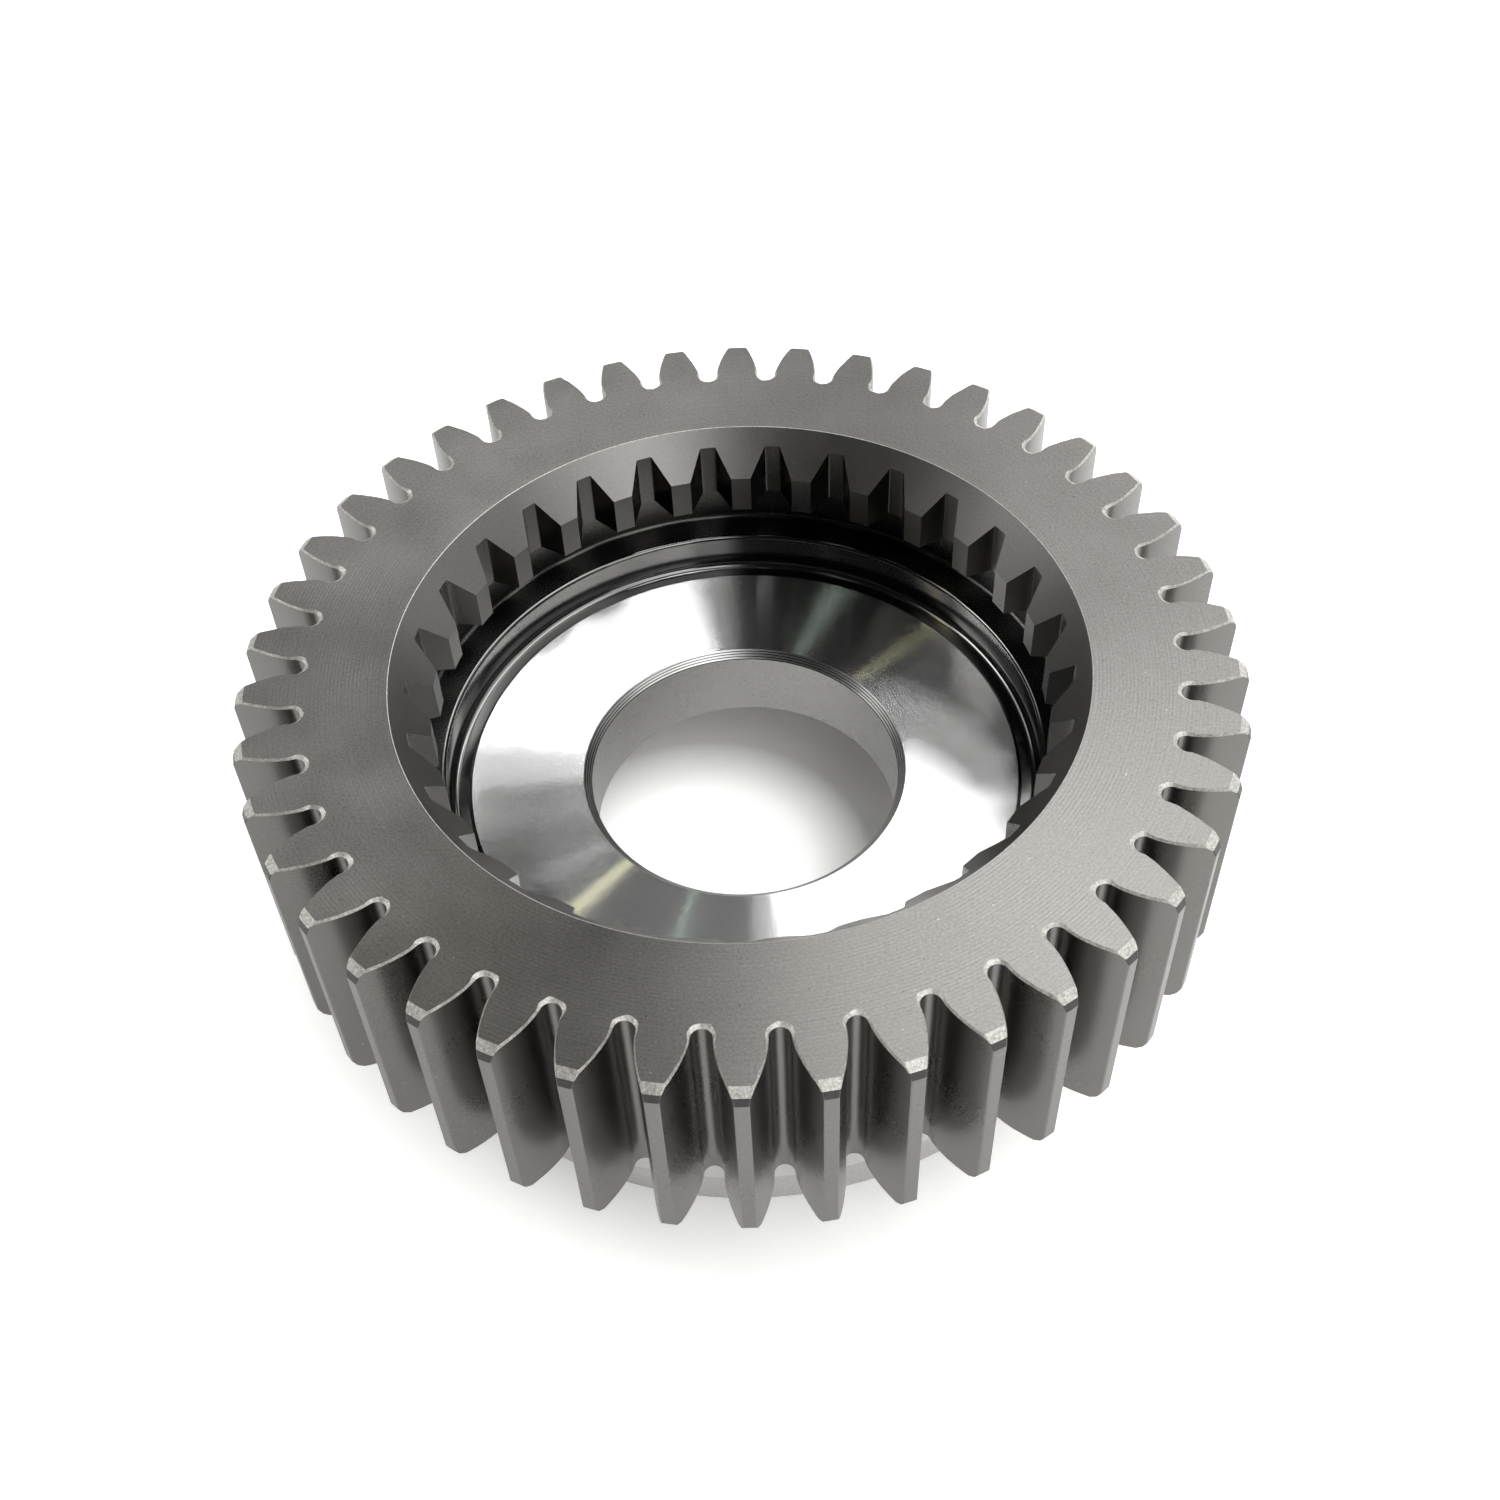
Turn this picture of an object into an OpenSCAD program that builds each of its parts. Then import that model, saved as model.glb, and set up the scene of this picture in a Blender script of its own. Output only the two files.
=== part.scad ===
// Transmission gear: a one-piece steel spur gear with deep outer teeth, an internal
// clutch ring in its upper recess, a ground web round the bore, and a boss below.
// Z = 0 is the bottom of the boss, and Z is the axis of the bore.

/* [Outer teeth] */
// Number of outer teeth
tooth_count = 42; // [40:1:44]
// Module of the outer teeth (mm of pitch diameter for each tooth)
tooth_module = 5.45; // [5.3:0.01:5.55]
// Pressure angle of the outer teeth
pressure_angle = 20; // [18:0.5:22]
// How far the tooth tips stand out from the pitch circle
tip_out = 6.55; // [4.5:0.05:8.4]
// How deep the tooth roots lie inside the pitch circle
root_in = 9.85; // [8.4:0.05:11.4]
// Length of the teeth along the axis
face_w = 59.3; // [50:0.1:64]
// How far the tip chamfer runs in from the tips
tip_chamfer_in = 2.8; // [1.5:0.1:4]
// How far the tip chamfer runs along the teeth
tip_chamfer_along = 3.4; // [1.5:0.1:5]
// How far its steeper lower facet runs in from the tips
tip_facet_in = 0.8; // [0.4:0.1:1.2]
// How far its flatter upper facet runs along the teeth
tip_facet_along = 1.5; // [0.8:0.1:1.5]

/* [Boss] */
// Height of the whole gear, from the boss to the upper face
height = 89.4; // [84:0.1:96]
// Diameter of the boss, where it is machined under the teeth
boss_d = 200.6; // [194:0.2:203]
// Length of the machined part of the boss
boss_machined_h = 13.2; // [5:0.1:18]
// Draft angle of the forged part of the boss
boss_draft = 10; // [0:0.5:12]
// Rounding at the foot of the boss
boss_round = 1.2; // [0.5:0.1:2.5]

/* [Clutch ring] */
// Number of internal clutch teeth
clutch_teeth = 29; // [27:1:31]
// Diameter across the tips of the clutch teeth
clutch_tip_d = 150.8; // [149.4:0.2:152.4]
// Depth of the clutch teeth, from their tips to their roots
clutch_tooth_depth = 5.4; // [3.6:0.1:6.6]
// Angle between a clutch tooth flank and the tooth's own middle line
clutch_flank = 33; // [28:0.5:36]
// Gap between two clutch teeth, at their roots
clutch_root_gap = 4.1; // [3:0.1:5]
// Turn of the clutch ring against the outer teeth
clutch_turn = -0.4; // [-4:0.1:4]
// Depth of the lower ends of the clutch teeth under the upper face
clutch_depth = 22; // [18:0.1:25]
// How far the mouth of the lead-in cone lies outside the roots of the clutch teeth
mouth_out = 3.2; // [1.2:0.1:6.2]
// Depth of the lead-in cone
mouth_depth = 11; // [8:0.1:13]
// Width of the small chamfer between the upper face and that cone
mouth_edge = 0.3; // [0.1:0.05:0.8]
// Slope of that chamfer
mouth_edge_slope = 30; // [20:1:40]

/* [Tool relief groove] */
// How far the groove lies outside the roots of the clutch teeth
groove_out = 3; // [1.7:0.1:5.2]
// Depth of the groove's floor under the upper face
groove_depth = 32; // [29:0.1:34]
// Slope of the groove's upper side
groove_slope = 22; // [10:1:30]
// Fillet between the groove's floor and its wall
groove_fillet = 1.5; // [0.6:0.1:2.5]

/* [Web seat] */
// How far the wall round the web lies inside the tips of the clutch teeth
seat_in = 0.4; // [0:0.1:1.9]
// Rounding at the top edge of that wall
seat_round = 1.1; // [0.5:0.1:1.6]
// Depth of the ground face of the web under the upper face
web_depth = 41.8; // [38:0.1:44]
// Distance between that wall and the edge of the ground face
web_ground_in = 4.3; // [3:0.1:7]
// Depth of the grinding relief round the web
web_relief = 0.9; // [0.4:0.1:1.5]
// Fillet between the grinding relief and the wall
web_fillet = 2; // [1:0.1:2.6]
// Thickness of the web
web_t = 23.4; // [18:0.1:27]

/* [Bore] */
// Diameter of the bore
bore_d = 78.6; // [70:0.2:90]
// Width of the chamfers at both ends of the bore
bore_chamfer = 2; // [1:0.1:3]

/* [Underside] */
// Diameter of the recess in the boss, at the web
under_d = 150; // [140:0.5:156]
// Draft angle of the wall of that recess
under_draft = 7; // [3:0.5:10]
// Fillet between that wall and the web
under_fillet = 5; // [2:0.5:8]
// Rounding at the mouth of that recess
under_round = 1.2; // [0.5:0.1:2.5]

/* [Hidden] */
$fn = 144;
// One outer tooth, and one clutch tooth but for its turn, stand at this angle
first_tooth = 90;
// Small overrun, so that cutting shapes pass clear through what they cut
over = 1;
// Steps along one involute flank, and along a quarter of a round root
flank_steps = 7;
root_steps = 5;
// Steps along a small fillet
fillet_steps = 4;
pitch_r = tooth_module * tooth_count / 2;
tip_r = pitch_r + tip_out;
root_r = pitch_r - root_in;
base_r = pitch_r * cos(pressure_angle);
// Half of the angle from one outer tooth to the next
half_pitch = 180 / tooth_count;
teeth_z = height - face_w;

clutch_tip_r = clutch_tip_d / 2;
clutch_root_r = clutch_tip_r + clutch_tooth_depth;
mouth_r = clutch_root_r + mouth_out;
cone_slope = mouth_depth / (mouth_r - clutch_tip_r);
// How far the small chamfer at the mouth reaches in over the cone
mouth_edge_in = mouth_edge * tan(mouth_edge_slope) / (cone_slope - tan(mouth_edge_slope));
groove_r = clutch_root_r + groove_out;
groove_top_depth = clutch_depth - (groove_r - clutch_tip_r) * tan(groove_slope);
seat_r = clutch_tip_r - seat_in;
web_ground_r = seat_r - web_ground_in;
web_top_z = height - web_depth;
web_low_z = web_top_z - web_t;
bore_r = bore_d / 2;
boss_r = boss_d / 2;
boss_forged_h = teeth_z - boss_machined_h;
boss_foot_r = boss_r - boss_forged_h * tan(boss_draft);
under_r = under_d / 2;
under_mouth_r = under_r + web_low_z * tan(under_draft);

// A point given by its radius and its angle
function polar(r, a) = [r * cos(a), r * sin(a)];

// Angle of the involute's roll at a radius, and the involute function there
function roll(r) = r <= base_r ? 0 : acos(base_r / r);
function involute(r) = tan(roll(r)) * 180 / PI - roll(r);

// Half of a tooth's angle at a radius. At the pitch circle a tooth is as wide as a space,
// and under the base circle its flank runs straight towards the centre
function half_tooth(r) = half_pitch / 2 + involute(pitch_r) - involute(r);

// The round root: an arc that touches both flanks, centred between two teeth
start_r = max(base_r, root_r + over);
root_half_angle = half_pitch - half_tooth(start_r);
root_round = root_r * sin(root_half_angle) / (1 - sin(root_half_angle));
root_centre_r = root_r + root_round;

// One side of one space, from its middle to past the tip of the tooth
function root_arc() = [for (i = [0 : root_steps])
    let (a = 180 - i * (90 - root_half_angle) / root_steps)
    [root_centre_r + root_round * cos(a), root_round * sin(a)]];
function flank() = [for (i = [0 : flank_steps])
    let (r = start_r + (tip_r + over - start_r) * i / flank_steps)
    polar(r, half_pitch - half_tooth(r))];
function half_space() = concat(root_arc(), flank());
function turned_by(points, a) = [for (p = points)
    [p[0] * cos(a) - p[1] * sin(a), p[0] * sin(a) + p[1] * cos(a)]];
function mirrored(points) = [for (i = [len(points) - 1 : -1 : 1]) [points[i][0], -points[i][1]]];

// The outline of all outer teeth
function tooth_outline() = [for (i = [0 : tooth_count - 1])
    each turned_by(concat(mirrored(half_space()), half_space()),
        first_tooth + (2 * i + 1) * half_pitch)];

// An arc of a section, about a centre, from one angle to another
function arc(c, r, a0, a1) = [for (i = [0 : fillet_steps])
    let (a = a0 + (a1 - a0) * i / fillet_steps) c + polar(r, a)];

// Half section of the rim that carries the outer teeth, with both tip chamfers
rim_section = [
    [bore_r - over, teeth_z],
    [tip_r - tip_chamfer_in, teeth_z],
    [tip_r - tip_facet_in, teeth_z + tip_facet_along],
    [tip_r, teeth_z + tip_chamfer_along],
    [tip_r, height - tip_chamfer_along],
    [tip_r - tip_facet_in, height - tip_facet_along],
    [tip_r - tip_chamfer_in, height],
    [bore_r - over, height]];

// Half section of the boss: machined under the teeth, forged with draft below
boss_section = concat(
    [[bore_r - over, teeth_z + over], [bore_r - over, 0]],
    arc([boss_foot_r - boss_round, boss_round], boss_round, -90, -boss_draft),
    [[boss_r, boss_forged_h], [boss_r, teeth_z + over]]);

// Half section of what is turned out above the web, down from over the upper face
recess_section = concat(
    [[0, height + over],
     [mouth_r + mouth_edge + over / tan(mouth_edge_slope), height + over],
     [mouth_r - mouth_edge_in, height - mouth_edge_in * cone_slope],
     [clutch_tip_r, height - mouth_depth],
     [clutch_tip_r, height - clutch_depth],
     [groove_r, height - groove_top_depth]],
    arc([groove_r - groove_fillet, height - groove_depth + groove_fillet], groove_fillet, 0, -90),
    arc([seat_r + seat_round, height - groove_depth - seat_round], seat_round, 90, 180),
    arc([seat_r - web_fillet, web_top_z - web_relief + web_fillet], web_fillet, 0, -90),
    [[web_ground_r, web_top_z - web_relief],
     [web_ground_r - web_relief, web_top_z],
     [0, web_top_z]]);

// Half section of what is turned out under the web
under_section = concat(
    [[0, -over],
     [under_mouth_r + under_round, -over]],
    arc([under_mouth_r + under_round, under_round], under_round, -90, -180 + under_draft),
    arc([under_r - under_fillet, web_low_z - under_fillet], under_fillet, under_draft, 90),
    [[0, web_low_z]]);

// Outer teeth: the turned rim, cut to the outline of the teeth
module outer_teeth() {
    intersection() {
        rotate_extrude() polygon(rim_section);
        translate([0, 0, teeth_z - over])
            linear_extrude(height = face_w + 2 * over) polygon(tooth_outline());
    }
}

// Gaps of the clutch ring: straight flanks that open inwards, as one star
function gap_half(r) = clutch_root_gap / 2 + (clutch_root_r - r) * tan(clutch_flank);
function clutch_outline() = [for (i = [0 : clutch_teeth - 1])
    let (a = first_tooth + clutch_turn + (i + 0.5) * 360 / clutch_teeth, r = clutch_tip_r - over)
    each turned_by([[r, -gap_half(r)], [clutch_root_r, -clutch_root_gap / 2],
        [clutch_root_r, clutch_root_gap / 2], [r, gap_half(r)]], a)];
module clutch_gaps() {
    translate([0, 0, height - (clutch_depth + groove_depth) / 2])
        linear_extrude(height = (clutch_depth + groove_depth) / 2 + over)
        polygon(clutch_outline());
}

// The bore with a chamfer at each end
module bore() {
    translate([0, 0, web_low_z - over]) cylinder(h = web_t + 2 * over, r = bore_r);
    translate([0, 0, web_top_z - bore_chamfer])
        cylinder(h = bore_chamfer + over, r1 = bore_r, r2 = bore_r + bore_chamfer + over);
    translate([0, 0, web_low_z - over])
        cylinder(h = bore_chamfer + over, r1 = bore_r + bore_chamfer + over, r2 = bore_r);
}

// The whole gear
module gear() {
    color([0.50, 0.49, 0.47])
    difference() {
        union() {
            outer_teeth();
            rotate_extrude() polygon(boss_section);
        }
        rotate_extrude() polygon(recess_section);
        clutch_gaps();
        rotate_extrude() polygon(under_section);
        bore();
    }
}

gear();
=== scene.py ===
"""Looks of a one-piece transmission gear: a finely cut mesh of its turned and toothed surfaces,
one steel finish for each way that a surface was made, with painted light and shade in several
of their colours, and a plain white studio."""

from collections import namedtuple
from math import acos, asin, atan2, cos, degrees, hypot, pi, radians, sin, tan
from random import Random

import bmesh
import bpy
from mathutils import Euler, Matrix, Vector
from mathutils.geometry import tessellate_polygon


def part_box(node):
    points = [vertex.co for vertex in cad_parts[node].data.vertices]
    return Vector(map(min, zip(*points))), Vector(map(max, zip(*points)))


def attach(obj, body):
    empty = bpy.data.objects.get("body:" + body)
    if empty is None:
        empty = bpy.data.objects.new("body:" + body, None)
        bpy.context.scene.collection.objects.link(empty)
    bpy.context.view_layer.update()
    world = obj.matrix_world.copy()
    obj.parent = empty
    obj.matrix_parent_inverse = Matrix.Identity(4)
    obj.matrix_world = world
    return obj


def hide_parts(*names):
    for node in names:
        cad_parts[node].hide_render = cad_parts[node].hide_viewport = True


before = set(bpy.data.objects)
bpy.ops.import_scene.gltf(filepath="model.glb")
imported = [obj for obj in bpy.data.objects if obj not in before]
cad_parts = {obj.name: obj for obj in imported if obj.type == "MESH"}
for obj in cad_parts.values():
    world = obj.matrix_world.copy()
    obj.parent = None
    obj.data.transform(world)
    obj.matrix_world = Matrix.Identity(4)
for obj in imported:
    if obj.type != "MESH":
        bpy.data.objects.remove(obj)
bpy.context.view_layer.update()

# Metres in a millimetre
MM = 0.001

# Sizes in millimetres, as the solid has them; the frame gives the height and the tip radius
gear_low, gear_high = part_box("gear")
HEIGHT = (gear_high[2] - gear_low[2]) / MM
TIP_R = (gear_high[1] - gear_low[1]) / 2 / MM
TEETH = 42
MODULE = 5.45
PRESSURE_ANGLE = radians(20)
ROOT_R = 104.6
FACE_W = 59.3
TIP_CHAMFER_IN = 2.8
TIP_CHAMFER_ALONG = 3.4
TIP_FACET_IN = 0.8
TIP_FACET_ALONG = 1.5
FIRST_TOOTH = radians(90)

CLUTCH_TEETH = 29
CLUTCH_TURN = radians(-0.4)
CLUTCH_TIP_R = 75.4
CLUTCH_ROOT_R = 80.8
CLUTCH_FLANK = radians(33)
CLUTCH_ROOT_GAP = 4.1
CLUTCH_DEPTH = 22.0
MOUTH_R = 84.0
MOUTH_DEPTH = 11.0
GROOVE_R = 83.8
GROOVE_DEPTH = 32.0
GROOVE_SLOPE = radians(22)
GROOVE_FILLET = 1.5
SEAT_R = 75.0
SEAT_ROUND = 1.1
WEB_DEPTH = 41.8
WEB_GROUND_R = 70.7
WEB_RELIEF = 0.9
WEB_FILLET = 2.0
WEB_T = 23.4
BORE_R = 39.3
BORE_CHAMFER = 2.0
BOSS_R = 100.3
BOSS_MACHINED_H = 13.2
BOSS_DRAFT = radians(10)
BOSS_ROUND = 1.2
UNDER_R = 75.0
UNDER_DRAFT = radians(7)
UNDER_FILLET = 5.0
UNDER_ROUND = 1.2
# The web's underside is turned clean from the bore to here, and forged beyond
UNDER_TURNED_R = 58.0

# Finer forms than the solid has. The teeth's edges are broken by hand: how deep, how far in at
# the roots and along the flanks, how uneven, and how much of that carries on to the next point
EDGE_BREAK = 0.65
ROOT_BREAK_IN = 1.0
FLANK_BREAK_IN = 0.36
BREAK_UNEVEN = 0.2
BREAK_CARRIED = 0.6
BREAK_SEED = 11
TIP_EDGE = 0.2
MOUTH_EDGE = 0.10
CLUTCH_CORNER = 0.5
# Lands on the bore's upper chamfer, their share of it, and the depth of the grooves between
BORE_RIDGES = 4
LAND_SHARE = 0.7
RIDGE_DEPTH = 0.12

# How finely the mesh is cut
ROOT_STEPS = 6
FLANK_STEPS = 10
LAND_STEPS = 2
GAP_COLUMNS = 4
TOOTH_COLUMNS = 14
CORNER_STEPS = 4
CLUTCH_ROWS = 5
ARC_STEPS = 7
# The plain ring inside the roots, at which the flat ends of the teeth start, and its steps a tooth
END_RING_R = 101.6
END_RING_STEPS = 6
# Edges sharper than this are drawn as edges
CREASE = radians(18)

TEETH_Z = HEIGHT - FACE_W
HALF_PITCH = pi / TEETH
PITCH_R = MODULE * TEETH / 2
BASE_R = PITCH_R * cos(PRESSURE_ANGLE)
CLUTCH_PITCH = 2 * pi / CLUTCH_TEETH
WEB_TOP = HEIGHT - WEB_DEPTH
WEB_LOW = WEB_TOP - WEB_T

# The surfaces that have a finish of their own, in the order of the material slots; several of these
# finishes also carry painted shade or painted reflection
ZONES = ["face", "edge", "flank", "tip", "cone", "clutch", "groove", "seat", "web", "bore",
         "underside", "forged", "ridge", "chamfer", "facet"]
# Flat zones, whose borders are always drawn as edges
FLAT_ZONES = [ZONES.index("face"), ZONES.index("underside")]


class Skin:
    """A mesh gathered from patches that share their border points."""

    def __init__(self):
        self.index = {}
        self.points = []
        self.faces = []
        self.zones = []

    def point(self, p):
        """The number of a point, which is shared by all patches that touch it."""
        key = (round(p[0], 3), round(p[1], 3), round(p[2], 3))
        if key not in self.index:
            self.index[key] = len(self.points)
            self.points.append(p)
        return self.index[key]

    def face(self, corners, zone):
        """A face, unless its corners fall together."""
        ids = []
        for corner in corners:
            i = self.point(corner)
            if i not in ids:
                ids.append(i)
        if len(ids) > 2:
            self.faces.append(ids)
            self.zones.append(ZONES.index(zone))

    def strip(self, row_a, row_b, zone, closed=False):
        """Quads between two rows that have as many points."""
        count = len(row_a)
        for i in range(count if closed else count - 1):
            j = (i + 1) % count
            self.face((row_a[i], row_a[j], row_b[j], row_b[i]), zone)

    def zipper(self, loop_a, loop_b, zone):
        """Triangles between two flat closed loops that both run once round the axis."""
        (a, turn_a), (b, turn_b) = from_west(loop_a), from_west(loop_b)
        i = j = 0
        while i < len(a) or j < len(b):
            if j == len(b) or (i < len(a) and turn_a[i + 1] <= turn_b[j + 1]):
                self.face((a[i], a[(i + 1) % len(a)], b[j % len(b)]), zone)
                i += 1
            else:
                self.face((a[i % len(a)], b[(j + 1) % len(b)], b[j]), zone)
                j += 1


def from_west(loop):
    """A loop started at its lowest angle, with the angle reached at each point and at its end."""
    angles = [atan2(p[1], p[0]) for p in loop]
    first = angles.index(min(angles))
    loop, angles = loop[first:] + loop[:first], angles[first:] + angles[:first]
    for i in range(1, len(angles)):
        angles[i] = max(angles[i], angles[i - 1])
    return loop, angles + [angles[0] + 2 * pi]


def spread(a, b, steps):
    """Even values from a to b, with both ends."""
    return [a + (b - a) * i / steps for i in range(steps + 1)]


def polar(r, a, z):
    """A point from its radius, its turn and its height."""
    return (r * cos(a), r * sin(a), z)


def arc(centre, radius, a0, a1, steps=ARC_STEPS):
    """Points of a fillet, from one turn to another in degrees."""
    turns = [radians(a) for a in spread(a0, a1, steps)]
    return [(centre[0] + radius * cos(a), centre[1] + radius * sin(a)) for a in turns]


def flank_angle(r):
    """Pressure angle of the involute at a radius."""
    return acos(BASE_R / r) if r > BASE_R else 0.0


def half_tooth(r):
    """Half of a tooth's angle at a radius."""
    roll, pitch_roll = flank_angle(r), flank_angle(PITCH_R)
    return HALF_PITCH / 2 + (tan(pitch_roll) - pitch_roll) - (tan(roll) - roll)


def flank_point(r, inset):
    """A flank's point as (radius, angle from the middle of the space), moved into the tooth."""
    roll = flank_angle(r)
    along, across = r - inset * sin(roll), inset * cos(roll)
    return hypot(along, across), HALF_PITCH - half_tooth(r) + atan2(across, along)


def flank_reach(clip, inset):
    """The radius of the true flank whose moved point lies at the clip radius."""
    low, high = BASE_R, TIP_R + 2 * inset + 1
    for _ in range(40):
        middle = (low + high) / 2
        if flank_point(middle, inset)[0] < clip:
            low = middle
        else:
            high = middle
    return low


def hand_break(dice):
    """How far one side's edge was broken by hand, from the middle of the root to the tip."""
    out, drift = [], 0.0
    for i in range(ROOT_STEPS + FLANK_STEPS + 2):
        share = min(1.0, max(0.0, (i - 2) / ROOT_STEPS))
        depth = ROOT_BREAK_IN + (FLANK_BREAK_IN - ROOT_BREAK_IN) * share
        drift = BREAK_CARRIED * drift + dice.uniform(-1, 1)
        out.append(depth * (1 + BREAK_UNEVEN * drift))
    return out


def half_space(clip, breaks):
    """Half of one tooth space and half of the tooth's land beside it, as (radius, angle, zone)."""
    start = BASE_R
    spread = HALF_PITCH - half_tooth(start)
    rounding = ROOT_R * sin(spread) / (1 - sin(spread))
    centre = ROOT_R + rounding
    out = []
    for i in range(ROOT_STEPS + 1):
        a = pi - i * (pi / 2 - spread) / ROOT_STEPS
        x, y = centre + (rounding + breaks[i]) * cos(a), (rounding + breaks[i]) * sin(a)
        out.append((hypot(x, y), atan2(y, x), "flank"))
    tip_break = breaks[-1]
    end = flank_reach(clip - TIP_EDGE, tip_break)
    for i in range(FLANK_STEPS + 1):
        r, a = flank_point(start + (end - start) * i / FLANK_STEPS, breaks[ROOT_STEPS + 1 + i])
        out.append((r, a, "flank" if i < FLANK_STEPS else "tip"))
    land = flank_point(flank_reach(clip, tip_break), tip_break)[1] + TIP_EDGE / clip
    for i in range(LAND_STEPS + 1):
        out.append((clip, land + (HALF_PITCH - land) * i / LAND_STEPS, "tip"))
    return out


def tooth_level(z, dice, clip):
    """The outline of all outer teeth at one height, and the zone of each of its sides.
    Dice are given where the edge is broken by hand."""
    true = half_space(clip, [0.0] * (ROOT_STEPS + FLANK_STEPS + 2))
    loop, zones = [], []
    for tooth in range(TEETH):
        middle = FIRST_TOOTH + (2 * tooth + 1) * HALF_PITCH
        before = half_space(clip, hand_break(dice)) if dice else true
        for k in range(len(before) - 1, 0, -1):
            loop.append(polar(before[k][0], middle - before[k][1], z))
            zones.append(before[k - 1][2])
        after = half_space(clip, hand_break(dice)) if dice else true
        for r, turn, zone in after[:-1]:
            loop.append(polar(r, middle + turn, z))
            zones.append(zone)
    return loop, zones


def build_outer_teeth(skin):
    """The outer teeth from their lower end to the upper face; gives the loops of both ends."""
    end_r, facet_r = TIP_R - TIP_CHAMFER_IN, TIP_R - TIP_FACET_IN
    rise = (facet_r - end_r) / TIP_FACET_ALONG
    steps = [(0.0, end_r), (EDGE_BREAK, end_r + EDGE_BREAK * rise), (TIP_FACET_ALONG, facet_r),
             (TIP_CHAMFER_ALONG, TIP_R)]
    dice = Random(BREAK_SEED)
    levels = [(TEETH_Z + z, None if z else dice, clip) for z, clip in steps]
    levels += [(HEIGHT - z, None if z else dice, clip) for z, clip in reversed(steps)]
    loops = [tooth_level(*level) for level in levels]
    last = len(loops) - 1
    for k in range(last):
        (low_loop, zones), high_loop = loops[k], loops[k + 1][0]
        count = len(low_loop)
        for i in range(count):
            j = (i + 1) % count
            zone = zones[i]
            if k in (0, last - 1) or (zone == "tip" and k in (1, last - 2)):
                zone = "edge"
            elif zone == "tip" and k in (2, last - 3):
                zone = "facet"
            skin.face((low_loop[i], low_loop[j], high_loop[j], high_loop[i]), zone)
    return loops[0][0], loops[-1][0]


def fill_tooth_ends(skin, loop, zone):
    """The flat end of each tooth down to a plain ring inside the roots; gives that ring."""
    chunk = len(loop) // TEETH
    inner_ring = []
    for tooth in range(TEETH):
        first = tooth * chunk + chunk // 2
        outer = [loop[i % len(loop)] for i in range(first, first + chunk + 1)]
        turn = FIRST_TOOTH + (2 * tooth + 1) * HALF_PITCH
        turns = spread(turn, turn + 2 * HALF_PITCH, END_RING_STEPS)
        inner = [polar(END_RING_R, a, loop[0][2]) for a in turns]
        inner_ring += inner[:-1]
        corners = outer + inner[::-1]
        for triangle in tessellate_polygon([[Vector(p) for p in corners]]):
            skin.face([corners[i] for i in triangle], zone)
    return inner_ring


def gap_half(r):
    """Half of the gap between two clutch teeth, at a radius."""
    return CLUTCH_ROOT_GAP / 2 + (CLUTCH_ROOT_R - r) * tan(CLUTCH_FLANK)


def gap_rows():
    """One side of a clutch gap from its root to its mouth, as (radius, half angle)."""
    reach = CLUTCH_CORNER * tan((pi / 2 - CLUTCH_FLANK) / 2)
    centre = (CLUTCH_ROOT_R - CLUTCH_CORNER, CLUTCH_ROOT_GAP / 2 - reach)
    corner = arc(centre, CLUTCH_CORNER, 0, 90 - degrees(CLUTCH_FLANK), CORNER_STEPS)
    start = corner[-1][0]
    line = [start + (CLUTCH_TIP_R - start) * i / CLUTCH_ROWS for i in range(1, CLUTCH_ROWS + 1)]
    sides = corner + [(r, gap_half(r)) for r in line]
    return [(r, asin(h / r)) for r, h in sides]


def cone_z(r):
    """The height of the lead-in cone at a radius."""
    return HEIGHT - MOUTH_DEPTH * (MOUTH_R - r) / (MOUTH_R - CLUTCH_TIP_R)


def under_teeth_z(r):
    """The height of the clutch teeth's sloping underside at a radius."""
    return HEIGHT - CLUTCH_DEPTH + (r - CLUTCH_TIP_R) * tan(GROOVE_SLOPE)


def build_clutch_ring(skin):
    """The clutch teeth, their gaps and the cone above them; gives the ring's angles."""
    rows = gap_rows()
    root_half = rows[0][1]
    ring = []
    for k in range(CLUTCH_TEETH):
        middle = FIRST_TOOTH + CLUTCH_TURN + (k + 0.5) * CLUTCH_PITCH
        root = spread(middle - root_half, middle + root_half, GAP_COLUMNS)
        ring += root[:-1] + spread(root[-1], middle + CLUTCH_PITCH - root_half, TOOTH_COLUMNS)[:-1]
        tops, bottoms = [], []
        for r, half in rows:
            turns = spread(middle + half, middle + CLUTCH_PITCH - half, TOOTH_COLUMNS)
            tops.append([polar(r, a, cone_z(r)) for a in turns])
            bottoms.append([polar(r, a, under_teeth_z(r)) for a in turns])
        for i in range(len(rows) - 1):
            skin.strip(tops[i], tops[i + 1], "cone")
            skin.strip(bottoms[i], bottoms[i + 1], "groove")
            for end in (0, -1):
                corners = (tops[i][end], tops[i + 1][end], bottoms[i + 1][end], bottoms[i][end])
                skin.face(corners, "clutch")
        skin.strip(tops[-1], bottoms[-1], "clutch")
        skin.strip([polar(CLUTCH_ROOT_R, a, cone_z(CLUTCH_ROOT_R)) for a in root],
                   [polar(CLUTCH_ROOT_R, a, under_teeth_z(CLUTCH_ROOT_R)) for a in root], "clutch")
    return ring


def bore_ridges():
    """The upper chamfer of the bore: bright lands with a fine groove after each, whose near-black finish
    is painted shade.
    """

    def on_chamfer(share, depth=0.0):
        return (BORE_R + BORE_CHAMFER * (1 - share) + depth, WEB_TOP - BORE_CHAMFER * share - depth)

    out = []
    for i in range(BORE_RIDGES):
        start, groove, end = ((i + part) / BORE_RIDGES for part in (0.0, LAND_SHARE, 1.0))
        foot = on_chamfer((groove + end) / 2, RIDGE_DEPTH)
        out += [("chamfer", [on_chamfer(start), on_chamfer(groove)]),
                ("ridge", [on_chamfer(groove), foot]),
                ("ridge", [foot, on_chamfer(end)])]
    return out


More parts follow.
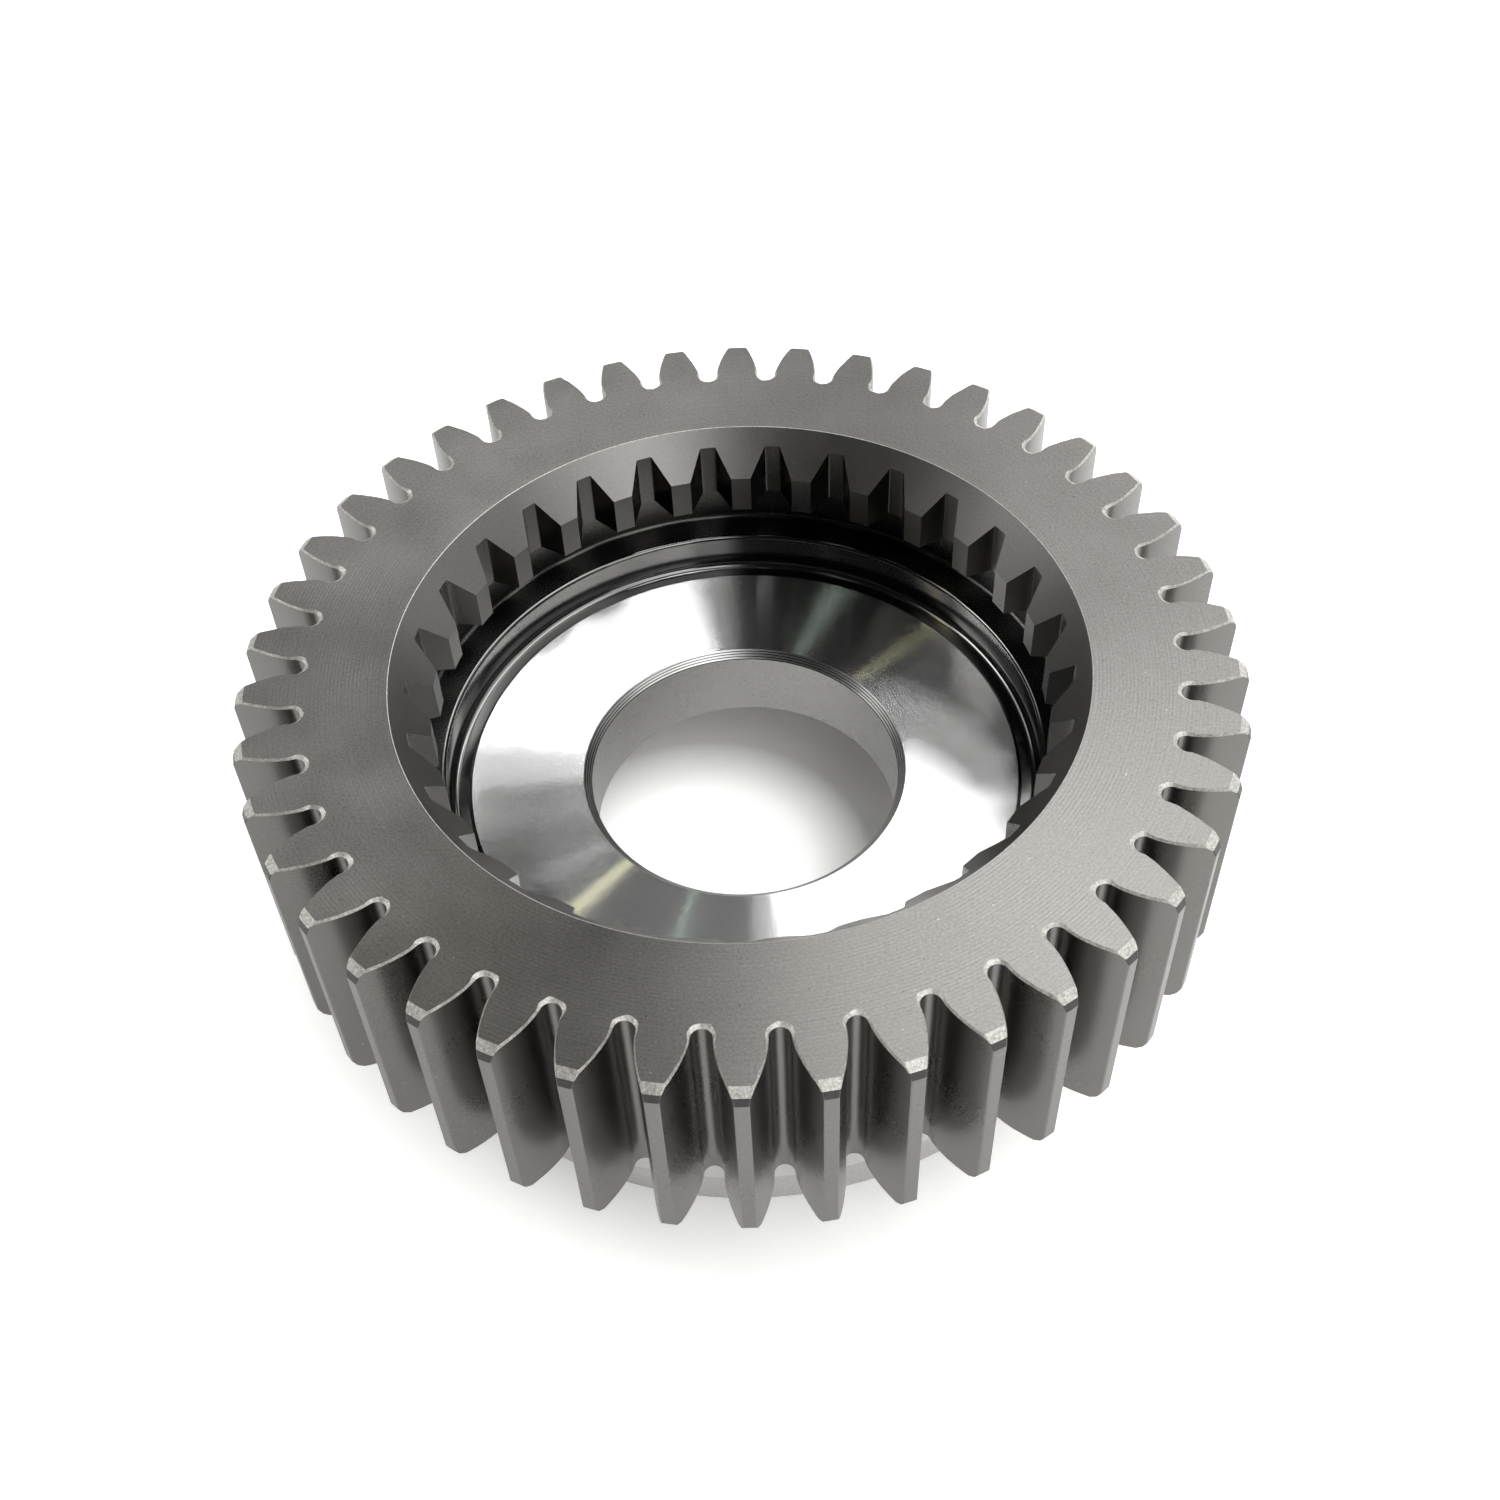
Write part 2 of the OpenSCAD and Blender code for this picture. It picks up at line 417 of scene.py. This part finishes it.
def turned_section():
    """Everything that a tool turned, from under the clutch teeth round to the boss, as zones
    with their (radius, height) points."""
    groove_floor = HEIGHT - GROOVE_DEPTH
    relief = WEB_TOP - WEB_RELIEF
    boss_forged_h = TEETH_Z - BOSS_MACHINED_H
    boss_foot_r = BOSS_R - boss_forged_h * tan(BOSS_DRAFT)
    mouth_r = UNDER_R + WEB_LOW * tan(UNDER_DRAFT)
    draft = degrees(UNDER_DRAFT)
    return [
        ("groove", [(CLUTCH_ROOT_R, under_teeth_z(CLUTCH_ROOT_R)), (GROOVE_R, under_teeth_z(GROOVE_R))]
         + arc((GROOVE_R - GROOVE_FILLET, groove_floor + GROOVE_FILLET), GROOVE_FILLET, 0, -90)
         + [(SEAT_R + SEAT_ROUND, groove_floor)]),
        ("seat", arc((SEAT_R + SEAT_ROUND, groove_floor - SEAT_ROUND), SEAT_ROUND, 90, 180)
         + arc((SEAT_R - WEB_FILLET, relief + WEB_FILLET), WEB_FILLET, 0, -90)
         + [(WEB_GROUND_R, relief), (WEB_GROUND_R - WEB_RELIEF, WEB_TOP)]),
        ("web", [(WEB_GROUND_R - WEB_RELIEF, WEB_TOP), (BORE_R + BORE_CHAMFER, WEB_TOP)]),
        *bore_ridges(),
        ("bore", [(BORE_R, WEB_TOP - BORE_CHAMFER), (BORE_R, WEB_LOW + BORE_CHAMFER),
                  (BORE_R + BORE_CHAMFER, WEB_LOW)]),
        ("underside", [(BORE_R + BORE_CHAMFER, WEB_LOW), (UNDER_TURNED_R, WEB_LOW)]),
        ("forged", [(UNDER_TURNED_R, WEB_LOW)]
         + arc((UNDER_R - UNDER_FILLET, WEB_LOW - UNDER_FILLET), UNDER_FILLET, 90, draft)
         + arc((mouth_r + UNDER_ROUND, UNDER_ROUND), UNDER_ROUND, -180 + draft, -90)),
        ("underside", [(mouth_r + UNDER_ROUND, 0.0), (boss_foot_r - BOSS_ROUND, 0.0)]),
        ("forged", arc((boss_foot_r - BOSS_ROUND, BOSS_ROUND), BOSS_ROUND, -90, -degrees(BOSS_DRAFT))
         + [(BOSS_R, boss_forged_h)]),
        ("underside", [(BOSS_R, boss_forged_h), (BOSS_R, TEETH_Z)]),
    ]


def build_gear_skin():
    """The whole gear as one closed skin."""
    skin = Skin()
    low_loop, high_loop = build_outer_teeth(skin)
    ring = build_clutch_ring(skin)

    def ring_at(r, z):
        return [polar(r, a, z) for a in ring]

    edge_r = MOUTH_R - MOUTH_EDGE / 2
    mouth, edge = ring_at(MOUTH_R + MOUTH_EDGE, HEIGHT), ring_at(edge_r, cone_z(edge_r))
    skin.strip(mouth, edge, "edge", closed=True)
    skin.strip(edge, ring_at(CLUTCH_ROOT_R, cone_z(CLUTCH_ROOT_R)), "cone", closed=True)
    skin.zipper(fill_tooth_ends(skin, high_loop, "face"), mouth, "face")
    for zone, section in turned_section():
        for (r0, z0), (r1, z1) in zip(section, section[1:]):
            skin.strip(ring_at(r0, z0), ring_at(r1, z1), zone, closed=True)
    skin.zipper(fill_tooth_ends(skin, low_loop, "underside"), ring_at(BOSS_R, TEETH_Z), "underside")
    return skin


def make_mesh(name, skin):
    """The skin as an object, in metres, with outward normals and creased edges."""
    mesh = bpy.data.meshes.new(name)
    mesh.from_pydata([[c * MM for c in p] for p in skin.points], [], skin.faces)
    mesh.polygons.foreach_set("material_index", skin.zones)
    bm = bmesh.new()
    bm.from_mesh(mesh)
    bmesh.ops.recalc_face_normals(bm, faces=bm.faces)
    for f in bm.faces:
        f.smooth = True
    open_edges = 0
    for e in bm.edges:
        open_edges += len(e.link_faces) != 2
        flat = [f.material_index in FLAT_ZONES for f in e.link_faces]
        e.smooth = flat in ([True, True], [False, False]) and e.calc_face_angle() < CREASE
    bm.to_mesh(mesh)
    bm.free()
    print(f"{name}: {len(skin.points)} points, {len(skin.faces)} faces, {open_edges} open edges")
    thing = bpy.data.objects.new(name, mesh)
    bpy.context.scene.collection.objects.link(thing)
    return thing


class Graph:
    """Short ways to add nodes to a material or to the world."""

    def __init__(self, tree):
        self.tree = tree

    def node(self, kind, inputs=(), **settings):
        """A node with its settings, and with values or links for its inputs."""
        n = self.tree.nodes.new(kind)
        for key, value in settings.items():
            setattr(n, key, value)
        for key, value in dict(inputs).items():
            self.feed(n.inputs[key], value)
        return n

    def feed(self, socket, value):
        """Links a socket to another one's output, or sets its value."""
        if isinstance(value, bpy.types.NodeSocket):
            self.tree.links.new(value, socket)
        else:
            socket.default_value = value

    def math(self, operation, a, b=0.0, clamp=False):
        """One step of arithmetic."""
        n = self.node("ShaderNodeMath", {0: a, 1: b}, operation=operation, use_clamp=clamp)
        return n.outputs[0]

    def vector(self, operation, a, b, output="Vector"):
        """One step of arithmetic with vectors."""
        n = self.node("ShaderNodeVectorMath", {0: a, 1: b}, operation=operation)
        return n.outputs[output]

    def flat(self, x, y, factor):
        """A level vector, with x and y times the same factor."""
        parts = {0: self.math("MULTIPLY", x, factor), 1: self.math("MULTIPLY", y, factor)}
        return self.node("ShaderNodeCombineXYZ", parts).outputs[0]

    def fit(self, value, low, high, to_low=0.0, to_high=1.0):
        """The value's place between low and high, as a value between the other two."""
        n = self.node("ShaderNodeMapRange", {"Value": value, "From Min": low, "From Max": high,
                                             "To Min": to_low, "To Max": to_high})
        return n.outputs["Result"]

    def mix(self, share, a, b):
        """Colour a, with a share of colour b."""
        n = self.node("ShaderNodeMix", data_type="RGBA")
        for socket, value in ((n.inputs[0], share), (n.inputs[6], a), (n.inputs[7], b)):
            self.feed(socket, value)
        return n.outputs[2]

    def noise(self, where, scale, detail, rough):
        """Noise of a place, or of one length, with as many waves a millimetre as the scale says."""
        length = where.type == "VALUE"
        inputs = {"W" if length else "Vector": where, "Scale": scale, "Detail": detail, "Roughness": rough}
        n = self.node("ShaderNodeTexNoise", inputs, noise_dimensions="1D" if length else "3D")
        return n.outputs["Fac"]


Place = namedtuple("Place", "mm x y z radius")


def place(g):
    """Where a point of the object is, in millimetres."""
    metres = g.node("ShaderNodeTexCoord").outputs["Object"]
    mm = g.node("ShaderNodeVectorMath", {0: metres, "Scale": 1 / MM}, operation="SCALE").outputs[0]
    x, y, z = g.node("ShaderNodeSeparateXYZ", {0: mm}).outputs
    radius = g.math("SQRT", g.math("ADD", g.math("MULTIPLY", x, x), g.math("MULTIPLY", y, y)))
    return Place(mm, x, y, z, radius)


# A quarter turn, so that gloss spreads across the tool lines and not along them
ACROSS_LINES = 0.25
# Millimetres between the even lines that the cutter leaves, and how much of them the clouds leave
FEED_PITCH = 0.9
FEED_FAINT = 0.3
# Detail and roughness of the tool lines' noise, and how much of it shows in the colour
LINE_NOISE = (3.0, 0.6)
LINES_IN_COLOUR = 0.25
# Scale, detail and roughness of the slow clouds and the fine specks on every finish, and the
# specks' height in millimetres for a grain of 1
CLOUDS = (0.045, 3.0, 0.6)
SPECKS = (1.6, 2.0, 0.7)
SPECK_HEIGHT = 0.01
# Bright nicks and dark pits: spacing and radius in millimetres, strength and colour
NICKS = (3.0, 0.28, 0.35, (0.85, 0.84, 0.81, 1))
PITS = (2.4, 0.30, 0.55, (0.02, 0.02, 0.02, 1))


def tool_lines(g, at, run, scale):
    """The noise of the tool lines, which follows the radius, the height or the turn round the axis."""
    if run == "turn":
        return g.noise(g.flat(at.x, at.y, g.math("DIVIDE", TIP_R, at.radius)), scale, *LINE_NOISE)
    return g.noise(at.radius if run == "radius" else at.z, scale, *LINE_NOISE)


def swing(g, noise, reach):
    """How far a noise is from its middle, as a change of that reach on each side."""
    return g.math("MULTIPLY", g.math("SUBTRACT", noise, 0.5), 2 * reach)


def dotted(g, colour, mm, share, spacing, size, strength, dot_colour):
    """The colour with round dots scattered on it."""
    cells = g.node("ShaderNodeTexVoronoi", {"Vector": mm, "Scale": 1 / spacing})
    pick = g.node("ShaderNodeSeparateColor", {0: cells.outputs["Color"]}).outputs[0]
    near = g.fit(cells.outputs["Distance"], size / spacing, 0.5 * size / spacing)
    dot = g.math("MULTIPLY", near, g.math("GREATER_THAN", pick, 1 - share))
    return g.mix(g.math("MULTIPLY", dot, strength), colour, dot_colour)


def worn(g, colour, mm, nicks, pits):
    """The colour with that share of bright nicks and dark pits."""
    for dots, share in ((NICKS, nicks), (PITS, pits)):
        if share:
            colour = dotted(g, colour, mm, share, *dots)
    return colour


def relief(g, at, lines, line_depth, clouds, feed, specks, grain):
    """The height of the tool lines, the cutter's even lines and the specks, in millimetres."""
    height = g.math("ADD", g.math("MULTIPLY", lines, line_depth),
                    g.math("MULTIPLY", specks, SPECK_HEIGHT * grain))
    if feed:
        wave = g.math("SINE", g.math("MULTIPLY", at.radius, 2 * pi / FEED_PITCH))
        depth = g.fit(clouds, 0.4, 0.6, FEED_FAINT * feed, feed)
        height = g.math("ADD", height, g.math("MULTIPLY", wave, depth))
    return height


def stretch_gloss(g, shader, amount):
    """Spreads the gloss across the tool lines that run round the axis."""
    shader.inputs["Anisotropic"].default_value = amount
    shader.inputs["Anisotropic Rotation"].default_value = ACROSS_LINES
    tangent = g.node("ShaderNodeTangent", direction_type="RADIAL", axis="Z").outputs[0]
    g.feed(shader.inputs["Tangent"], tangent)


def fanned_normal(g, at, fan):
    """The surface normal, tilted in and out across the finest tool lines."""
    normal = g.node("ShaderNodeNewGeometry").outputs["Normal"]
    scatter = g.node("ShaderNodeTexWhiteNoise", {"W": at.radius}, noise_dimensions="1D")
    lean = g.math("DIVIDE", swing(g, scatter.outputs["Value"], fan), at.radius)
    tilted = g.vector("ADD", normal, g.flat(at.x, at.y, lean))
    return g.node("ShaderNodeVectorMath", {0: tilted}, operation="NORMALIZE").outputs[0]


def steel(name, dark, light, rough, rough_spread, run, line_scale=2.0, line_depth=0.0,
          blotch=0.3, grain=0.2, turned=None, fan=0.0, nicks=0.0, pits=0.0, metal=1.0, feed=0.0):
    """A steel finish between a dark and a light colour. run names what its tool lines follow:
    radius, height, turn or none. line_depth is the depth of the lines in millimetres, blotch and
    grain how much the clouds and specks show, turned the anisotropy round the axis, fan how far
    the finest lines tilt the surface, nicks and pits the share of bright and dark dots, metal the
    share of metal in the reflection, and feed the depth of the cutter's even lines."""
    material = bpy.data.materials.new(name)
    material.use_nodes = True
    shader = material.node_tree.nodes["Principled BSDF"]
    g = Graph(material.node_tree)
    at = place(g)
    lines = tool_lines(g, at, run, line_scale)
    clouds, specks = g.noise(at.mm, *CLOUDS), g.noise(at.mm, *SPECKS)

    share = g.math("ADD", g.math("ADD", swing(g, clouds, blotch), 0.5), swing(g, specks, grain))
    if run != "none":
        share = g.math("ADD", share, swing(g, lines, LINES_IN_COLOUR), clamp=True)
    colour = worn(g, g.mix(share, (*dark, 1), (*light, 1)), at.mm, nicks, pits)
    g.feed(shader.inputs["Base Color"], colour)
    shader.inputs["Metallic"].default_value = metal

    uneven = g.math("ADD", g.math("MULTIPLY", clouds, 0.6), g.math("MULTIPLY", specks, 0.4))
    uneven = g.fit(uneven, 0.3, 0.7, rough - rough_spread, rough + rough_spread)
    g.feed(shader.inputs["Roughness"], uneven)
    if turned:
        stretch_gloss(g, shader, turned)

    height = relief(g, at, lines, line_depth, clouds, feed, specks, grain)
    bump = g.node("ShaderNodeBump", {"Height": height, "Distance": MM, "Strength": 1.0})
    if fan:
        g.feed(bump.inputs["Normal"], fanned_normal(g, at, fan))
    g.feed(shader.inputs["Normal"], bump.outputs[0])
    return material


def gear_materials():
    """The finish of each zone, in the order of ZONES. Their colours are lit and shaded copies of one
    steel: several carry painted shade or painted reflection, as noted at each.
    """
    made = {
        "face": steel("turned_face", (0.187, 0.181, 0.171), (0.318, 0.312, 0.297), 0.45, 0.05,
                      "radius", 2.2, 0.008, blotch=0.4, grain=0.9, turned=0.73, nicks=0.12, pits=0.1,
                      feed=0.012),
        # The broken edges are bare, freshly broken steel; their light cream colours also paint the
        # highlights that the breaks catch
        "edge": steel("edge_break_with_painted_highlight", (0.31, 0.302, 0.28), (0.90, 0.88, 0.82), 0.50, 0.08,
                      "turn", 1.3, 0.02, blotch=0.2, grain=0.9, metal=0.55),
        # The flanks' dark colours paint the shade that falls between the teeth, darker than the same steel
        # on the face
        "flank": steel("ground_flank_painted_shade", (0.153, 0.147, 0.138), (0.261, 0.252, 0.236), 0.29, 0.04,
                       "none", blotch=0.15, grain=0.15, nicks=0.05),
        "tip": steel("tip_land", (0.168, 0.163, 0.155), (0.269, 0.263, 0.251), 0.30, 0.05,
                     "height", 3.0, 0.003, blotch=0.2, grain=0.4, pits=0.2),
        "cone": steel("cone", (0.183, 0.177, 0.168), (0.260, 0.253, 0.243), 0.38, 0.05,
                      "none", blotch=0.15, grain=0.6, nicks=0.1),
        # The clutch teeth and the groove under them are coloured near black: painted shade of the gaps and
        # of the recess under the cone
        "clutch": steel("clutch_teeth", (0.050, 0.048, 0.045), (0.077, 0.074, 0.071), 0.30, 0.05,
                        "none", blotch=0.15, grain=0.3),
        "groove": steel("relief_groove_painted_shade", (0.055, 0.053, 0.051), (0.084, 0.082, 0.080), 0.26, 0.04,
                        "radius", 1.5, 0.004, grain=0.05, turned=0.8),
        # The seat wall's dark colours paint the shade of the recess that it stands in
        "seat": steel("seat_wall_painted_shade", (0.120, 0.119, 0.117), (0.170, 0.168, 0.166), 0.13, 0.02,
                      "height", 2.0, 0.001, blotch=0.2, grain=0.05, turned=0.5),
        # The web is ground steel, but its near-white colours are partly a painted reflection, raised so
        # that its gloss renders white
        "web": steel("ground_web_with_painted_reflection", (0.860, 0.860, 0.853), (0.930, 0.930, 0.923), 0.165, 0.01,
                     "radius", 2.5, 0.004, blotch=0.1, grain=0.05, turned=1.0, fan=0.40),
        "bore": steel("bore", (0.290, 0.286, 0.280), (0.440, 0.436, 0.427), 0.28, 0.04,
                      "height", 3.0, 0.002, turned=0.7, pits=0.15),
        # The underside and the forged skin are lighter than the same steel above: their colours partly
        # paint the white floor's reflection
        "underside": steel("turned_underside_with_painted_reflection", (0.56, 0.55, 0.53), (0.80, 0.79, 0.765), 0.42, 0.05,
                           "radius", 1.6, 0.006, turned=0.7, nicks=0.1),
        "forged": steel("forged_skin_with_painted_reflection", (0.48, 0.47, 0.455), (0.74, 0.73, 0.71), 0.55, 0.08,
                        "none", grain=0.8),
        # The bore's fine grooves are coloured near black: painted shade
        "ridge": steel("bore_ridge", (0.05, 0.049, 0.048), (0.09, 0.088, 0.086), 0.25, 0.03,
                       "none", grain=0.3),
        "chamfer": steel("bore_chamfer", (0.45, 0.445, 0.44), (0.60, 0.595, 0.59), 0.30, 0.03,
                         "none", grain=0.1),
        # The tip facets' dark colours paint the shade that these narrow facets show
        "facet": steel("tip_facet_painted_shade", (0.055, 0.052, 0.050), (0.120, 0.115, 0.110), 0.34, 0.05,
                       "turn", 1.3, 0.006, blotch=0.2, grain=0.4),
    }
    return [made[zone] for zone in ZONES]


def make_gear():
    """The gear's mesh with its finishes, in the place of the solid."""
    gear = make_mesh("gear_skin", build_gear_skin())
    for material in gear_materials():
        gear.data.materials.append(material)
    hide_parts("gear")
    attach(gear, "root")


# The camera, fitted to the photograph: its place, its turns in degrees, its lens and the width of
# its sensor, and the nearest thing that it sees. Lengths are in millimetres
CAMERA_PLACE = (10.39, -307.42, 412.93)
CAMERA_TURN = (40.534, 1.787, -0.457)
CAMERA_LENS = 44.66
CAMERA_SENSOR = 36.0
CAMERA_NEAR = 10.0


def make_camera():
    """The camera at the photograph's angle."""
    data = bpy.data.cameras.new("camera")
    data.lens = CAMERA_LENS
    data.sensor_width = CAMERA_SENSOR
    data.clip_start = CAMERA_NEAR * MM
    camera = bpy.data.objects.new("camera", data)
    camera.location = Vector(CAMERA_PLACE) * MM
    camera.rotation_euler = Euler([radians(a) for a in CAMERA_TURN], "XYZ")
    bpy.context.scene.collection.objects.link(camera)
    bpy.context.scene.camera = camera


# Half of the floor's width in metres, and its colour
FLOOR_REACH = 12.0
FLOOR_WHITE = 0.93
# How much the floor is lifted towards white. Under the bore this glow paints a pool of light, given by
# its centre, its outer and inner radius, and outside the teeth it leaves only a faint shadow
POOL = (-12.0, 3.0)
POOL_EDGE = (47.0, 29.0)
PAINTED_POOL_GLOW = 0.55
LIFT_OUTSIDE = 0.65
LIFT_START_R = 76.0
LIFT_END_R = 128.0
LIFT_IN_METAL = 0.22
# From here to there the floor turns plain white, so that no view shows where the lamps end
FAR_START_R = 350.0
FAR_END_R = 1100.0


def floor_lift(g):
    """How much the floor glows for the ray that meets it; under the bore the glow paints a pool of light.
    """
    at = place(g)
    rays = g.node("ShaderNodeLightPath").outputs
    # The painted pool of light under the bore, fading out towards the teeth
    painted_pool = g.fit(g.vector("DISTANCE", at.mm, (*POOL, 0), "Value"), *POOL_EDGE, 0.0, PAINTED_POOL_GLOW)
    lift = g.fit(at.radius, LIFT_START_R, LIFT_END_R, painted_pool, LIFT_OUTSIDE)
    lift = g.math("MAXIMUM", lift, g.fit(at.radius, FAR_START_R, FAR_END_R))
    plain = g.math("MAXIMUM", rays["Is Camera Ray"], rays["Is Transmission Ray"])
    in_metal = g.math("MULTIPLY", rays["Is Glossy Ray"], LIFT_IN_METAL)
    return g.math("MAXIMUM", g.math("MULTIPLY", plain, lift), in_metal)


def floor_material():
    """A dull white that is lifted to plain white where the lamps leave it grey."""
    material = bpy.data.materials.new("floor_white")
    material.use_nodes = True
    shader = material.node_tree.nodes["Principled BSDF"]
    shader.inputs["Base Color"].default_value = (FLOOR_WHITE, FLOOR_WHITE, FLOOR_WHITE, 1)
    shader.inputs["Roughness"].default_value = 0.9
    shader.inputs["Specular IOR Level"].default_value = 0.1
    shader.inputs["Emission Color"].default_value = (1, 1, 1, 1)
    g = Graph(material.node_tree)
    g.feed(shader.inputs["Emission Strength"], floor_lift(g))
    material.cycles.emission_sampling = "NONE"
    return material


def make_floor():
    """A white floor that keeps the shadow and is plain white away from it."""
    r = FLOOR_REACH
    mesh = bpy.data.meshes.new("floor")
    mesh.from_pydata([(-r, -r, 0), (r, -r, 0), (r, r, 0), (-r, r, 0)], [], [(0, 1, 2, 3)])
    mesh.materials.append(floor_material())
    floor = bpy.data.objects.new("floor", mesh)
    bpy.context.scene.collection.objects.link(floor)


# The ceiling's height in metres, as the z range of its panels
CEILING = (1.0, 1.0)
# The soft lamps of the studio as flat panels: name, x, y and z range in metres, brightness.
# The panel's flat range says which way it faces: down from above, or inwards from the sides.
# Together they light the floor just short of plain white
PANELS = [
    ("above_a_fade", (0.0, 0.06), (-1.05, 0.42), CEILING, 0.8),
    ("above_a_near", (0.06, 0.14), (-1.05, -0.40), CEILING, 3.2),
    ("above_a_back", (0.06, 0.14), (0.0, 0.42), CEILING, 8.9),
    ("above_a_far", (0.06, 0.14), (0.42, 0.75), CEILING, 10.8),
    ("above_b_near", (0.14, 0.30), (-1.05, -0.40), CEILING, 2.75),
    ("above_b_far", (0.14, 0.30), (0.42, 1.05), CEILING, 2.5),
    ("above_c_near", (0.30, 0.50), (-1.05, -0.40), CEILING, 3.5),
    ("above_c_middle", (0.30, 0.50), (-0.40, 0.0), CEILING, 1.5),
    ("above_c_back", (0.30, 0.50), (0.0, 0.42), CEILING, 4.4),
    ("above_c_far", (0.30, 0.50), (0.42, 0.75), CEILING, 6.0),
    ("above_d_near", (0.50, 0.75), (-1.05, -0.40), CEILING, 2.4),
    ("above_d_middle", (0.50, 0.75), (-0.40, 0.55), CEILING, 4.1),
    ("above_d_far", (0.50, 0.75), (0.55, 0.75), CEILING, 3.0),
    ("above_d_end", (0.50, 0.75), (0.75, 1.05), CEILING, 8.0),
    ("above_e_near", (0.75, 1.05), (-1.05, 0.0), CEILING, 0.8),
    ("above_e_end", (0.75, 1.05), (0.55, 1.05), CEILING, 2.0),
    ("above_f_near", (1.05, 1.40), (-1.05, 0.0), CEILING, 2.5),
    ("above_f_back", (1.05, 1.40), (0.0, 0.50), CEILING, 3.4),
    ("above_f_fade_a", (1.05, 1.40), (0.50, 0.60), CEILING, 3.0),
    ("above_f_fade_b", (1.05, 1.40), (0.60, 0.70), CEILING, 2.2),
    ("above_f_fade_c", (1.05, 1.40), (0.70, 0.80), CEILING, 1.3),
    ("above_f_fade_d", (1.05, 1.40), (0.80, 0.95), CEILING, 0.6),
    ("above_left_near", (-1.05, -0.70), (-0.10, 0.35), CEILING, 2.0),
    ("above_left_far", (-1.05, -0.70), (0.35, 1.05), CEILING, 0.75),
    ("left_high_near", (-1.05, -1.05), (0.0, 0.5), (0.64, 0.96), 8.1),
    ("left_high_back", (-1.05, -1.05), (0.5, 1.0), (0.64, 0.96), 2.4),
    ("left_low", (-1.05, -1.05), (-1.0, 0.0), (0.0, 0.32), 1.2),
    ("back_left", (-0.2, 0.3), (1.1, 1.1), (0.32, 0.64), 1.45),
    ("back_right", (0.3, 0.8), (1.1, 1.1), (0.32, 0.64), 3.7),
    ("front_high", (0.33, 1.23), (-1.1, -1.1), (0.64, 0.96), 4.4),
    ("right_low", (1.25, 1.25), (0.0, 1.0), (0.0, 0.64), 0.85),
]
# Narrow lamps under the ceiling, which draw the two thin streaks across the ground web: name,
# both ends as x and y in metres, width in metres, brightness and colour
TUBES = [
    ("wide_tube", (-0.40, 0.31), (-0.66, 0.11), 0.055, 3.3, (1.0, 0.97, 0.62)),
    ("thin_tube", (-0.10, 0.44), (-0.30, -0.21), 0.014, 1.4, (0.80, 1.0, 0.84)),
]


def make_lamp(name, place_m, faces, size_m, brightness, colour=(1, 1, 1), spin=0.0):
    """A soft lamp of an even brightness, where 1 is that of a white wall."""
    data = bpy.data.lights.new(name, "AREA")
    data.shape = "RECTANGLE"
    data.size, data.size_y = size_m
    data.energy = pi * size_m[0] * size_m[1] * brightness
    data.color = colour
    lamp = bpy.data.objects.new(name, data)
    lamp.location = place_m
    lamp.rotation_euler = Vector(faces).to_track_quat("-Z", "Y").to_euler()
    lamp.rotation_euler.z += spin
    lamp.visible_camera = False
    bpy.context.scene.collection.objects.link(lamp)


def make_panel(name, x, y, z, brightness):
    """One of the PANELS."""
    middle = [sum(reach) / 2 for reach in (x, y, z)]
    wide, deep, tall = (reach[1] - reach[0] for reach in (x, y, z))
    if not tall:
        faces, size = (0, 0, -1), (wide, deep)
    elif not wide:
        faces, size = (-1 if middle[0] > 0 else 1, 0, 0), (deep, tall)
    else:
        faces, size = (0, -1 if middle[1] > 0 else 1, 0), (wide, tall)
    make_lamp(name, middle, faces, size, brightness)


def make_tube(name, start, end, width, brightness, colour):
    """One of the TUBES."""
    (x0, y0), (x1, y1) = start, end
    middle = ((x0 + x1) / 2, (y0 + y1) / 2, CEILING[0])
    size = (hypot(x1 - x0, y1 - y0), width)
    make_lamp(name, middle, (0, 0, -1), size, brightness, colour, atan2(y0 - y1, x0 - x1))


def make_light():
    """All lamps."""
    for panel in PANELS:
        make_panel(*panel)
    for tube in TUBES:
        make_tube(*tube)


# The grey of the dark room between the lamps
ROOM = 0.02
# Up to here above the horizon, as a share of the way up, the metal sees the white backdrop fade
BACKDROP_UP = 0.05


def make_world():
    """A dark room for the metal, and plain white where the camera looks past the floor."""
    world = bpy.data.worlds.new("studio")
    bpy.context.scene.world = world
    world.use_nodes = True
    g = Graph(world.node_tree)
    back = world.node_tree.nodes["Background"]
    direction = g.node("ShaderNodeTexCoord").outputs["Generated"]
    z = g.node("ShaderNodeSeparateXYZ", {0: direction}).outputs[2]
    rays = g.node("ShaderNodeLightPath").outputs
    seen = g.math("MAXIMUM", rays["Is Glossy Ray"], rays["Is Transmission Ray"])
    backdrop = g.math("MULTIPLY", seen, g.fit(z, BACKDROP_UP, 0.0))
    white = g.math("MAXIMUM", rays["Is Camera Ray"], backdrop)
    g.feed(back.inputs["Color"], g.mix(white, (ROOM, ROOM, ROOM, 1), (1, 1, 1, 1)))
    back.inputs["Strength"].default_value = 1.0


make_camera()
make_gear()
make_floor()
make_light()
make_world()
bpy.context.scene.view_settings.view_transform = "Standard"
